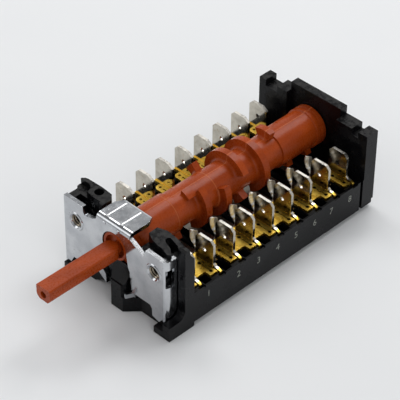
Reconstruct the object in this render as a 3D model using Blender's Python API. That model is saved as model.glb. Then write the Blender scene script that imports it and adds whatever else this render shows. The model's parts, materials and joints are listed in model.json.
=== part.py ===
"""Oven selector switch: a cam-operated rotary switch with push-on tabs.

The shaft runs along Y with its free end towards -Y, +X is the side with the
numbered stations, +Z is up and the body stands on Z = 0.
"""
import math

import bmesh
import bpy
from mathutils import Matrix, Vector

MM = 0.001

# Stations and overall layout, in millimetres
PITCH = 7.15
TAB_STATIONS = 9
AXIS_Z = 17.5
NEAR_WALL_X = 21.0
FAR_WALL_X = -18.5
SEAT_GAP = 0.3
RUNNING_GAP = 0.06

# Push-on tabs and their base plates
TAB_WIDTH = 6.3
TAB_THICK = 0.8
TAB_INNER_X = 11.35
TAB_TOP_Z = 19.0
TAB_CHAMFER = 1.1
FAR_CHAMFER = 1.7
PLATE_TOP_Z = 11.4
PLATE_THICK = 0.8
PLATE_REAR = 1.0
PLATE_OUTER_X = 17.6
EAR_OUTER_X = 19.5
EAR_FRONT = 3.2
PILOT_RADIUS = 0.42
PILOT_XS = (14.3, 18.4)
PILOT_SETBACK = 1.9
SEAM = 0.16
FAR_PLATE_X = -15.4
FAR_CORNER = 1.2
FAR_ARM_X = -11.6
TAB_HOLE_RADIUS = 0.65
TAB_HOLE_Z = 15.1
FAR_PLATE_REAR = 0.45
PLATE_INNER_X = 10.6
NEAR_GROUPS = ((0, 1), (2, 3, 4, 5), (6, 7), (8,))
FAR_STATIONS = range(1, 9)

# Contact leaves, one behind each of the first eight near tabs
LEAF_OFFSET_Y = 1.95
LEAF_WIDTH = 2.8
LEAF_THICK = 0.35
LEAF_LOW_Z = 8.3
LEAF_PIVOT_X = 10.6
FINGER_LOW_Z = 10.8
FINGER_WAIST_Z = 12.6
FINGER_FULL_Z = 15.4
FINGER_TIP_Z = 17.2
FINGER_HALF = 0.8
CONTACT_X = -10.2
CONTACT_RADIUS = 1.0
CONTACT_HIGH = 0.5

# Camshaft
SHAFT_WIDE = 4.9
SHAFT_TOP = 1.15
SHAFT_LOW = 3.0
SHAFT_TIP_Y = -34.0
SHAFT_END_Y = -9.85
SHAFT_BORE_RADIUS = 1.0
SHAFT_BORE_DROP = 1.1
NECK_RADIUS = 1.6
COLLAR_RADIUS = 4.0
CUP_RADIUS = 3.3
CUP_FLOOR_Y = -9.0
DRUM_RADIUS = 5.0
DRUM_WIDE_RADIUS = 5.45
CAM_RADIUS = 7.6
CAM_THICK = 2.0
CAM_OFFSET_Y = 1.5
DETENT_STEPS = 9
DETENT_RADIUS = 5.55
DETENT_DEPTH = 0.5
JOURNAL_RADIUS = 3.0

# Steel bracket
SHEET = 1.2
BRACKET_FRONT_Y = -10.4
BRACKET_HALF = 18.3
BRACKET_TOP_Z = 24.6
HOLE_INSET = 4.3
HOLE_X = BRACKET_HALF - HOLE_INSET
HOLE_RADIUS = 1.65
EMBOSS_RADIUS = 2.9
EMBOSS_HIGH = 0.22
FLANGE_REAR_Y = -6.7
WINDOW_LOW_Z = 14.5
WINDOW_TOP_Z = 20.1
RIB_XS = (-3.55, 1.6)
FOLD_RADIUS = 1.0

# Housing
WALL_TOP_Z = 10.8
FLOOR_Z = 1.3
FLOOR_TOP_Z = 3.3
NEAR_WALL_IN_X = 17.9
FAR_WALL_IN_X = -16.4
LEDGE_Z = PLATE_TOP_Z - PLATE_THICK - SEAT_GAP
BLOCK_REAR_Y = -3.5
CAVITY_FRONT_Y = -2.9
BLOCK_FRONT_Y = BRACKET_FRONT_Y + SHEET + SEAT_GAP
FOOT_FRONT_Y = -11.9
RIM_FRONT_Y = -6.4
BLOCK_TOP_Z = 22.4
BOSS_FRONT_Y = -12.3
BOSS_TOP_Z = 8.4
PAD_HALF = 6.0
CHAMBER_RADIUS = 1.75
CHAMBER_Y = -6.9
CHAMBER_FLOOR_Z = 1.6
REAR_ROOM = 3.2
REAR_WALL_Y = (TAB_STATIONS - 1) * PITCH + REAR_ROOM
REAR_WALL_THICK = 4.3
REAR_WALL_TOP_Z = 25.0
REAR_CREST_Z = 27.5
REAR_CREST_HALF = 8.8
REAR_FAR_X = -17.5
BODY_MID_X = 1.3
CREST_SETBACK = 1.7

# Detent parts
BALL_RADIUS = 1.6
SPRING_RADIUS = 1.2
SPRING_WIRE = 0.22
SPRING_TURNS = 5

for old in list(bpy.data.objects):
    bpy.data.objects.remove(old)

PARTS = bpy.data.collections.new("oven selector switch")
CUTTERS = bpy.data.collections.new("cutters")
bpy.context.scene.collection.children.link(PARTS)
bpy.context.scene.collection.children.link(CUTTERS)


def material(name, color, roughness, metallic):
    made = bpy.data.materials.new(name)
    made.use_nodes = True
    shader = made.node_tree.nodes["Principled BSDF"]
    shader.inputs["Base Color"].default_value = (*color, 1.0)
    shader.inputs["Roughness"].default_value = roughness
    shader.inputs["Metallic"].default_value = metallic
    return made


BLACK_PLASTIC = material("black plastic", (0.012, 0.012, 0.014), 0.42, 0.0)
RED_PLASTIC = material("red-brown plastic", (0.36, 0.075, 0.028), 0.4, 0.0)
ZINC_STEEL = material("zinc-plated steel", (0.62, 0.63, 0.64), 0.28, 1.0)
BRASS = material("brass", (0.80, 0.56, 0.20), 0.3, 1.0)
SPRING_BRONZE = material("contact spring alloy", (0.72, 0.62, 0.45), 0.3, 1.0)
SILVER = material("contact silver", (0.80, 0.79, 0.76), 0.3, 1.0)
SPRING_STEEL = material("spring steel", (0.45, 0.45, 0.46), 0.35, 1.0)


def place(mesh_builder, name, surface, smooth_angle=None):
    """Turn a bmesh in millimetres into a named object in the parts collection."""
    bmesh.ops.recalc_face_normals(mesh_builder, faces=mesh_builder.faces)
    bmesh.ops.scale(mesh_builder, vec=(MM, MM, MM), verts=mesh_builder.verts)
    mesh = bpy.data.meshes.new(name)
    mesh_builder.to_mesh(mesh)
    mesh_builder.free()
    mesh.materials.append(surface)
    made = bpy.data.objects.new(name, mesh)
    PARTS.objects.link(made)
    if smooth_angle:
        mesh.shade_smooth()
        mesh.set_sharp_from_angle(angle=math.radians(smooth_angle))
    return made


def block(x0, x1, y0, y1, z0, z1):
    """A rectangular block between the given limits."""
    shape = bmesh.new()
    bmesh.ops.create_cube(shape, size=1.0)
    bmesh.ops.scale(shape, vec=(x1 - x0, y1 - y0, z1 - z0), verts=shape.verts)
    centre = ((x0 + x1) / 2, (y0 + y1) / 2, (z0 + z1) / 2)
    bmesh.ops.translate(shape, vec=centre, verts=shape.verts)
    return shape


def prism(outline, start, end, axis):
    """An outline drawn across one axis and extruded along it."""
    along = "XYZ".index(axis)
    shape = bmesh.new()
    corners = []
    for first, second in outline:
        spot = [first, second]
        spot.insert(along, start)
        corners.append(shape.verts.new(spot))
    face = shape.faces.new(corners)
    grown = bmesh.ops.extrude_face_region(shape, geom=[face])
    moved = [part for part in grown["geom"] if isinstance(part, bmesh.types.BMVert)]
    step = [0.0, 0.0, 0.0]
    step[along] = end - start
    bmesh.ops.translate(shape, vec=step, verts=moved)
    bmesh.ops.recalc_face_normals(shape, faces=shape.faces)
    return shape


def rod(centre, radius, start, end, axis, sides=48, radius_end=None):
    """A round bar or cone along one axis, centred on the two other coordinates."""
    along = "XYZ".index(axis)
    turn = {"X": Matrix.Rotation(math.pi / 2, 3, "Y"),
            "Y": Matrix.Rotation(-math.pi / 2, 3, "X"), "Z": Matrix.Identity(3)}[axis]
    shape = bmesh.new()
    bmesh.ops.create_cone(shape, cap_ends=True, segments=sides, radius1=radius,
                          radius2=radius if radius_end is None else radius_end,
                          depth=abs(end - start))
    bmesh.ops.rotate(shape, cent=(0, 0, 0), matrix=turn, verts=shape.verts)
    spot = list(centre)
    spot.insert(along, (start + end) / 2)
    bmesh.ops.translate(shape, vec=spot, verts=shape.verts)
    return shape


def arc(centre_x, centre_y, radius, start, end, steps):
    """Points on a circle from one angle to another, in degrees."""
    points = []
    for step in range(steps + 1):
        angle = math.radians(start + (end - start) * step / steps)
        points.append((centre_x + radius * math.cos(angle),
                       centre_y + radius * math.sin(angle)))
    return points


def boolean(body, shapes, operation):
    """Join shapes to a body or cut them from it, keeping each shape as a hidden cutter."""
    for shape in shapes:
        bmesh.ops.recalc_face_normals(shape, faces=shape.faces)
        bmesh.ops.scale(shape, vec=(MM, MM, MM), verts=shape.verts)
        mesh = bpy.data.meshes.new("cutter")
        shape.to_mesh(mesh)
        shape.free()
        mesh.materials.append(body.data.materials[0])
        cutter = bpy.data.objects.new("cutter", mesh)
        cutter.hide_render = True
        cutter.display_type = "WIRE"
        CUTTERS.objects.link(cutter)
        change = body.modifiers.new(operation.lower(), "BOOLEAN")
        change.operation = operation
        change.solver = "EXACT"
        change.object = cutter


def join(body, *shapes):
    boolean(body, shapes, "UNION")


def cut(body, *shapes):
    boolean(body, shapes, "DIFFERENCE")


def tab_outline(side):
    """Blade, chamfered at the top, with its stepped foot into the side wall."""
    inner, outer = TAB_INNER_X, TAB_INNER_X + TAB_WIDTH
    top, low = TAB_TOP_Z, PLATE_TOP_Z - 0.2
    points = [(inner, low), (outer - 0.4, low)]
    if side > 0:
        points += [(18.9, low), (18.9, 9.6), (19.7, 9.6), (20.1, 10.6), (20.1, 11.1),
                   (19.0, 11.5), (18.3, 11.6), (outer, 12.2)]
    else:
        points += [(outer, low)]
    points += [(outer, top - TAB_CHAMFER), (outer - TAB_CHAMFER, top),
               (inner + (TAB_CHAMFER if side > 0 else FAR_CHAMFER), top),
               (inner, top - TAB_CHAMFER)]
    return [(side * x, z) for x, z in points]


def tab(side, station):
    centre = station * PITCH
    return prism(tab_outline(side), centre - TAB_THICK / 2, centre + TAB_THICK / 2, "Y")


def ear_front(station):
    """Front edge of a station's base plate, which the front block limits at the first one."""
    return max(station * PITCH - EAR_FRONT, CAVITY_FRONT_Y + SEAT_GAP)


def near_terminal(name, stations):
    """One stamped strip with a tab, a base plate and a pair of holes at each station."""
    low, rear = PLATE_TOP_Z - PLATE_THICK, stations[-1] * PITCH + PLATE_REAR
    outline = [(PLATE_OUTER_X, rear), (PLATE_INNER_X, rear),
               (PLATE_INNER_X, ear_front(stations[0]))]
    for station in stations:
        centre = station * PITCH
        outline += [(PLATE_OUTER_X, ear_front(station))] if station != stations[0] else []
        outline += [(EAR_OUTER_X, ear_front(station)), (EAR_OUTER_X, centre - TAB_THICK),
                    (PLATE_OUTER_X, centre - TAB_THICK)]
    strip = place(prism(outline, low, PLATE_TOP_Z, "Z"), name, BRASS)
    join(strip, *[tab(1, station) for station in stations])
    for station in stations:
        centre = station * PITCH
        cut(strip, rod((TAB_INNER_X + TAB_WIDTH / 2, TAB_HOLE_Z), TAB_HOLE_RADIUS,
                       centre - 2, centre + 2, "Y", 10))
        for x in PILOT_XS:
            cut(strip, rod((x, centre - PILOT_SETBACK), PILOT_RADIUS, low - 1.0,
                           PLATE_TOP_Z + 1.0, "Z", 6))
        cut(strip, block(*PILOT_XS, centre - PILOT_SETBACK - SEAM / 2,
                         centre - PILOT_SETBACK + SEAM / 2, low - 1.0, PLATE_TOP_Z + 1.0))
    return strip


def far_terminal(number):
    """Tab with a base arm that reaches under the drum to the fixed contact."""
    centre = number * PITCH
    contact_y = centre - PITCH + LEAF_OFFSET_Y
    outer, reach = -TAB_INNER_X - TAB_WIDTH, CONTACT_X + 1.6
    half = 1.3
    arm = [(outer, centre + FAR_PLATE_REAR), (outer, centre - TAB_THICK),
           (FAR_PLATE_X, centre - TAB_THICK)]
    arm += arc(FAR_PLATE_X + FAR_CORNER, centre - EAR_FRONT + FAR_CORNER, FAR_CORNER, 180, 270, 4)
    arm += [(FAR_ARM_X - 0.8, centre - EAR_FRONT), (FAR_ARM_X, centre - EAR_FRONT - 0.8),
            (FAR_ARM_X, contact_y - half)]
    arm += arc(reach - half, contact_y, half, -90, 0, 3)
    arm += [(reach, centre - 1.2), (reach - 1.0, centre + FAR_PLATE_REAR)]
    body = place(prism(arm, PLATE_TOP_Z - PLATE_THICK, PLATE_TOP_Z, "Z"),
                 f"far_terminal_{number}", BRASS)
    join(body, tab(-1, number))
    cut(body, rod((-TAB_INNER_X - TAB_WIDTH / 2, TAB_HOLE_Z), TAB_HOLE_RADIUS,
                  centre - 2, centre + 2, "Y", 10))
    seam_y = centre - PILOT_SETBACK
    low, high = PLATE_TOP_Z - PLATE_THICK - 1.0, PLATE_TOP_Z + 1.0
    cut(body, rod((-PILOT_XS[0], seam_y), PILOT_RADIUS, low, high, "Z", 6))
    cut(body, block(1.0 - PILOT_XS[0], FAR_ARM_X - 0.1, seam_y - SEAM, seam_y + SEAM, low, high))
    return body


def fixed_contact(number):
    y = (number - 1) * PITCH + LEAF_OFFSET_Y
    top = PLATE_TOP_Z - PLATE_THICK
    return place(rod((CONTACT_X, y), CONTACT_RADIUS, top - CONTACT_HIGH, top, "Z", 8),
                 f"fixed_contact_{number}", SILVER, 40)


def contact_leaf(number):
    """Spring strip under the drum with a follower finger standing beside the cams."""
    low, thick = LEAF_LOW_Z, LEAF_THICK
    root = PLATE_TOP_Z - PLATE_THICK - SEAT_GAP
    side = [(15.6, root - thick), (10.75, root - thick), (10.1, low),
            (CONTACT_X - 1.2, low), (CONTACT_X - 1.2, low + thick), (9.8, low + thick),
            (9.9, 10.4), (9.65, 11.7), (9.05, 12.15), (9.0, 12.75), (8.45, 13.15),
            (8.2, 15.6), (8.25, FINGER_TIP_Z), (8.6, FINGER_TIP_Z), (8.55, 15.6), (8.8, 13.4),
            (9.35, 13.0), (9.4, 12.4), (10.0, 11.95), (10.35, 10.6), (10.3, root - 0.05),
            (10.75, root), (15.6, root)]
    y, half = (number - 1) * PITCH + LEAF_OFFSET_Y, LEAF_WIDTH / 2
    leaf = place(prism(side, y - half, y + half, "Y"), f"contact_leaf_{number}", SPRING_BRONZE)
    for side_y in (-1, 1):
        edge, waist = y + side_y * (half + 0.1), y + side_y * FINGER_HALF
        taper = [(edge, FINGER_LOW_Z), (waist, FINGER_LOW_Z + 0.5), (waist, FINGER_WAIST_Z),
                 (edge, FINGER_FULL_Z)]
        cut(leaf, prism(taper, 7.6, LEAF_PIVOT_X - 0.1, "X"))
    slant = [(y - half - 0.2, FINGER_TIP_Z - 0.8), (y - half + 0.4, FINGER_TIP_Z - 0.1),
             (y + half + 0.2, FINGER_TIP_Z - 1.8), (y + half + 0.2, FINGER_TIP_Z + 1),
             (y - half - 0.2, FINGER_TIP_Z + 1)]
    cut(leaf, prism(slant, 7.6, 9.4, "X"))
    set_origin(leaf, (LEAF_PIVOT_X, y, root - thick))
    return leaf


def moving_contact(number):
    y = (number - 1) * PITCH + LEAF_OFFSET_Y
    base = LEAF_LOW_Z + LEAF_THICK
    button = place(rod((CONTACT_X, y), CONTACT_RADIUS, base, base + CONTACT_HIGH, "Z", 8),
                   f"moving_contact_{number}", SILVER, 40)
    root = PLATE_TOP_Z - PLATE_THICK - SEAT_GAP
    set_origin(button, (LEAF_PIVOT_X, y, root - LEAF_THICK))
    return button


def set_origin(made, point):
    """Move an object's origin to a point in millimetres, leaving its shape where it is."""
    offset = Vector(point) * MM
    made.data.transform(Matrix.Translation(-offset))
    made.location = offset


def sector(inner, outer, start, end, y0, y1):
    """Part of a ring around the shaft axis, between two angles in degrees."""
    steps = max(2, round((end - start) / 8.5))
    points = arc(0, AXIS_Z, outer, start, end, steps)
    points += arc(0, AXIS_Z, inner, end, start, steps)
    return prism(points, y0, y1, "Y")


def turned(profile, sides):
    """A solid of revolution about the shaft axis from (y, radius) pairs, tip end first."""
    shape = bmesh.new()
    rings = []
    for y, radius in profile:
        ring = []
        for side in range(sides):
            angle = math.tau * (side + 0.5) / sides
            ring.append(shape.verts.new((radius * math.cos(angle), y,
                                         AXIS_Z + radius * math.sin(angle))))
        rings.append(ring)
    for near, far in zip(rings, rings[1:]):
        for side in range(sides):
            after = (side + 1) % sides
            shape.faces.new((near[side], near[after], far[after], far[side]))
    shape.faces.new(rings[0])
    shape.faces.new(rings[-1])
    return shape


def camshaft():
    """Flatted shaft, collar, detent wheel, drum, cams and rear journal in one moulding."""
    front = BRACKET_FRONT_Y + 0.2
    drum_start = -5.7
    rear_end = REAR_WALL_Y + CREST_SETBACK - SEAT_GAP
    wide_start = 6 * PITCH + CAM_OFFSET_Y + 1.2
    profile = [(CUP_FLOOR_Y, CUP_RADIUS), (front, CUP_RADIUS), (front, COLLAR_RADIUS),
               (drum_start, COLLAR_RADIUS), (drum_start, DRUM_WIDE_RADIUS),
               (8.5, DRUM_WIDE_RADIUS), (8.6, DRUM_RADIUS), (wide_start, DRUM_RADIUS),
               (wide_start + 0.1, DRUM_WIDE_RADIUS), (rear_end - 3.2, DRUM_WIDE_RADIUS),
               (rear_end - 3.0, DRUM_WIDE_RADIUS + 0.35), (rear_end - 2.2, DRUM_WIDE_RADIUS + 0.35),
               (rear_end - 2.0, DRUM_WIDE_RADIUS), (rear_end - 1.2, DRUM_WIDE_RADIUS),
               (rear_end - 1.1, DRUM_WIDE_RADIUS + 0.35), (rear_end, DRUM_WIDE_RADIUS + 0.35),
               (rear_end, JOURNAL_RADIUS), (REAR_WALL_Y + 3.9, JOURNAL_RADIUS)]
    wide, low, high = SHAFT_WIDE / 2, AXIS_Z - SHAFT_LOW, AXIS_Z + SHAFT_TOP
    right = [(wide - 1.0, low), (wide - 0.2, low + 0.8), (wide, low + 1.5), (wide, high - 0.3),
             (wide - 0.3, high)]
    section = right + [(-x, z) for x, z in reversed(right)]
    body = place(prism(section, SHAFT_TIP_Y, SHAFT_END_Y, "Y"), "camshaft", RED_PLASTIC, 30)
    end = SHAFT_END_Y
    for side in (-1, 1):
        corner = [(side * x, y) for x, y in arc(0, end - wide, wide, 78, 2, 5)]
        corner += [(side * (wide + 1), end - wide), (side * (wide + 1), end + 1),
                   (side * 0.4, end + 1)]
        cut(body, prism(corner, low - 1, high + 1, "Z"))
    join(body, turned(profile, 40),
         rod((0, high - 0.2 - NECK_RADIUS), NECK_RADIUS, end - 1.5, CUP_FLOOR_Y + 1.0, "Y", 16))
    wheel = []
    for step in range(DETENT_STEPS * 6):
        angle = math.tau * step / (DETENT_STEPS * 6)
        wave = 0.5 + 0.5 * math.cos(DETENT_STEPS * (angle + math.pi / 2))
        radius = DETENT_RADIUS - DETENT_DEPTH * wave ** 2
        wheel.append((radius * math.cos(angle), AXIS_Z + radius * math.sin(angle)))
    wheel_front = BLOCK_FRONT_Y + SEAT_GAP
    join(body, prism(wheel, wheel_front, drum_start + 0.3, "Y"))
    inner = DRUM_RADIUS - 1.2
    cams = [(1, 251, 301), (2, -76, 56), (3, -76, 31), (3, 134, 158), (4, 31, 206),
            (4, -61, -28), (5, -71, 201), (6, 73, 114), (7, 256, 291), (8, 262, 292)]
    for station, start, end in cams:
        y = station * PITCH + CAM_OFFSET_Y
        join(body, sector(inner, CAM_RADIUS, start, end, y - CAM_THICK / 2, y + CAM_THICK / 2))
    join(body, sector(inner, DRUM_RADIUS + 1.0, 49, 79, 11.9, 14.9))
    cut(body, rod((0, AXIS_Z - SHAFT_BORE_DROP), SHAFT_BORE_RADIUS, SHAFT_TIP_Y - 1,
                  SHAFT_TIP_Y + 9, "Y", 24))
    set_origin(body, (0, 0, AXIS_Z))
    return body


def bracket_plate():
    """Front outline of the bracket, drawn from the lower left corner round."""
    half, top = BRACKET_HALF, BRACKET_TOP_Z
    left = [(-half, 2.2), (-half + 1.6, 2.2), (-half + 3.0, 4.8), (-6.2, 5.9), (-3.2, 3.6),
            (-3.4, 6.4), (-5.2, 8.4), (-5.2, 11.4)]
    gap = arc(0, AXIS_Z, COLLAR_RADIUS + SEAT_GAP, 225, -2, 22)
    right = [(4.6, 15.6), (4.9, 13.6), (5.5, 12.4), (5.5, 8.2), (6.0, 6.6), (7.4, 6.3),
             (half - 5.6, 6.3), (half - 5.0, 5.4), (half - 4.9, 3.2), (half - 2.2, 2.4),
             (half - SHEET, 2.4)]
    upper = [(half - SHEET, 22.8), (11.3, 23.1), (10.4, 20.6), (5.9, 23.0), (5.6, top - 1.4),
             (-6.3, top - 1.4), (-6.5, 22.8), (-7.9, 21.9), (-10.7, 21.3), (-11.2, 22.2),
             (-11.3, 23.7), (-half, 23.7)]
    return left + gap + right + upper


def front_bracket():
    """Folded sheet: front plate, side flange with a window and a ribbed top tongue."""
    y0, y1 = BRACKET_FRONT_Y, BRACKET_FRONT_Y + SHEET
    body = place(prism(bracket_plate(), y0, y1, "Y"), "front_bracket", ZINC_STEEL, 30)
    out, rear = BRACKET_HALF, FLANGE_REAR_Y
    bend = [(out - 2.4, y0), *arc(out - FOLD_RADIUS - 0.4, y0 + FOLD_RADIUS + 0.4,
                                  FOLD_RADIUS + 0.4, -90, 0, 5),
            (out, rear), (out - SHEET, rear), (out - SHEET, y1 + 0.3), (out - SHEET - 0.3, y1),
            (out - 2.4, y1)]
    join(body, prism(bend, 2.4, 22.8, "Z"))
    cut(body, block(out - 1.35, out + 1, y0 + 0.35, rear - 0.75, WINDOW_LOW_Z, WINDOW_TOP_Z))
    top = BRACKET_TOP_Z
    side = [(y0, top - 2.4), *arc(y0 + 1.5, top - 1.5, 1.5, 180, 90, 6), (-2.2, top),
            *arc(-2.2, top - 1.3, 1.3, 90, 0, 5), (-0.9, top - SHEET - 0.1),
            (-2.2, top - SHEET - 0.1), (-2.6, top - SHEET), (y1 + 0.5, top - SHEET),
            (y1, top - SHEET - 0.5), (y1, top - 2.4)]
    join(body, prism(side, -6.4, 5.5, "X"))
    cut(body, prism([(-7.5, -4.1), (-6.45, -4.1), (-4.4, -0.5), (-7.5, -0.4)],
                    top - 4, top + 2, "Z"),
        prism([(6.5, -3.9), (5.55, -3.9), (5.0, -2.6), (3.9, -0.6), (3.9, 0.4), (6.5, 0.4)],
              top - 4, top + 2, "Z"))
    for x in RIB_XS:
        join(body, block(x - 0.22, x + 0.22, y0 + 1.4, -2.5, top - 0.5, top + 0.28))
        join(body, prism([(y0 + 0.2, top - 1.9), (y0 + 1.7, top - 0.4), (y0 + 2.0, top - 0.1),
                          (y0 + 1.2, top + 0.12), (y0 - 0.12, top - 1.1), (y0 - 0.08, top - 1.6)],
                         x - 0.6, x + 0.6, "X"))
    lip = [(6.3, y0 + 0.4), (6.9, y0 - 0.0), (5.95, y0 - 2.0), (5.35, y0 - 1.9)]
    join(body, prism(lip, 5.2, 6.45, "Z"), block(6.2, 7.3, y0 + 0.02, y1 - 0.02, 5.2, 6.8))
    for side_x in (-1, 1):
        x = side_x * HOLE_X
        join(body, rod((x, AXIS_Z), 2.75, y0 + 0.4, y1 + 0.9, "Y", 24))
        join(body, rod((x, AXIS_Z), EMBOSS_RADIUS - 0.35, y0 - EMBOSS_HIGH, y0 + 0.2, "Y", 28,
                       EMBOSS_RADIUS))
        cut(body, rod((x, AXIS_Z), HOLE_RADIUS, y0 - 2, y1 + 3, "Y", 28))
        cut(body, rod((x, AXIS_Z), 2.3, y0 - EMBOSS_HIGH - 0.1, y0 + 0.3, "Y", 28, HOLE_RADIUS))
    return body


def housing():
    """Channel with station walls, front block with hooks and boss, and rear end wall."""
    rear = REAR_WALL_Y + REAR_WALL_THICK
    body = place(block(FAR_WALL_X, NEAR_WALL_X, BLOCK_REAR_Y, rear - 0.6, FLOOR_Z, WALL_TOP_Z),
                 "housing", BLACK_PLASTIC)
    cut(body, block(FAR_WALL_IN_X, NEAR_WALL_IN_X, CAVITY_FRONT_Y, REAR_WALL_Y, FLOOR_TOP_Z,
                    WALL_TOP_Z + 5))
    cut(body, block(FAR_WALL_X - 1, FAR_WALL_IN_X + 0.1, CAVITY_FRONT_Y, REAR_WALL_Y, LEDGE_Z,
                    WALL_TOP_Z + 5))
    low = LEDGE_Z
    rib = [(FAR_WALL_IN_X - 0.5, 2.6), (NEAR_WALL_IN_X + 0.5, 2.6), (NEAR_WALL_IN_X + 0.5, low),
           (PLATE_INNER_X + 0.2, low), (9.0, 9.0), (-7.4, 9.0), (-7.4, low),
           (FAR_WALL_IN_X - 0.5, low)]
    for station in range(TAB_STATIONS):
        y = station * PITCH + LEAF_OFFSET_Y + LEAF_WIDTH / 2 + SEAT_GAP
        join(body, prism(rib, y, y + 1.3, "Y"))
        centre = station * PITCH
        cut(body, block(16.8, 19.15, centre - 0.75, centre + 0.75, 8.4, 14.0))
        cut(body, block(18.3, 20.5, centre - 0.75, centre + 0.75, 9.2, 14.0))
        cut(body, block(16.8, EAR_OUTER_X + SEAT_GAP, ear_front(station) - SEAT_GAP,
                        centre - 0.6, LEDGE_Z, 14.0))
        cut(body, block(20.2, 22.0, centre - 1.3, centre + 0.9, 10.35, 14.0))
        cut(body, block(16.8, 20.5, centre + 1.1, centre + 3.6, 6.0, 14.0))
    cut(body, block(20.0, 22.0, REAR_WALL_Y - 1.3, REAR_WALL_Y - 0.3, -1.0, 14.0))
    join(body, block(-PAD_HALF, PAD_HALF, BLOCK_REAR_Y, PAD_HALF, 0.0, FLOOR_Z + 0.2))
    add_rear_wall(body, rear)
    add_front_block(body)
    return body


def add_rear_wall(body, rear):
    """End wall with a raised crest and a seat for the camshaft's journal."""
    corner = 2.6
    outline = [(REAR_FAR_X, corner), (REAR_FAR_X + corner, 0.0), (NEAR_WALL_X - corner, 0.0),
               (NEAR_WALL_X, corner), (NEAR_WALL_X, REAR_WALL_TOP_Z),
               (17.9, REAR_WALL_TOP_Z), (17.9, REAR_WALL_TOP_Z - 1.9),
               (15.6, REAR_WALL_TOP_Z - 1.9), (15.6, REAR_WALL_TOP_Z),
               (-11.0, REAR_WALL_TOP_Z), (-11.0, REAR_WALL_TOP_Z - 1.9),
               (-15.2, REAR_WALL_TOP_Z - 1.9), (-15.2, REAR_WALL_TOP_Z),
               (REAR_FAR_X, REAR_WALL_TOP_Z)]
    join(body, prism(outline, REAR_WALL_Y, rear, "Y"))
    left, right = BODY_MID_X - REAR_CREST_HALF, BODY_MID_X + REAR_CREST_HALF
    join(body, block(left, right, REAR_WALL_Y + CREST_SETBACK - 0.4, rear - 0.01,
                     REAR_WALL_TOP_Z - 2, REAR_CREST_Z))
    cut(body, block(left, right, REAR_WALL_Y - 1,
                    REAR_WALL_Y + CREST_SETBACK, AXIS_Z - 9.0, REAR_CREST_Z + 1))
    cut(body, rod((0, AXIS_Z), JOURNAL_RADIUS + RUNNING_GAP, REAR_WALL_Y - 1,
                  REAR_WALL_Y + 4.0, "Y", 48))


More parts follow.
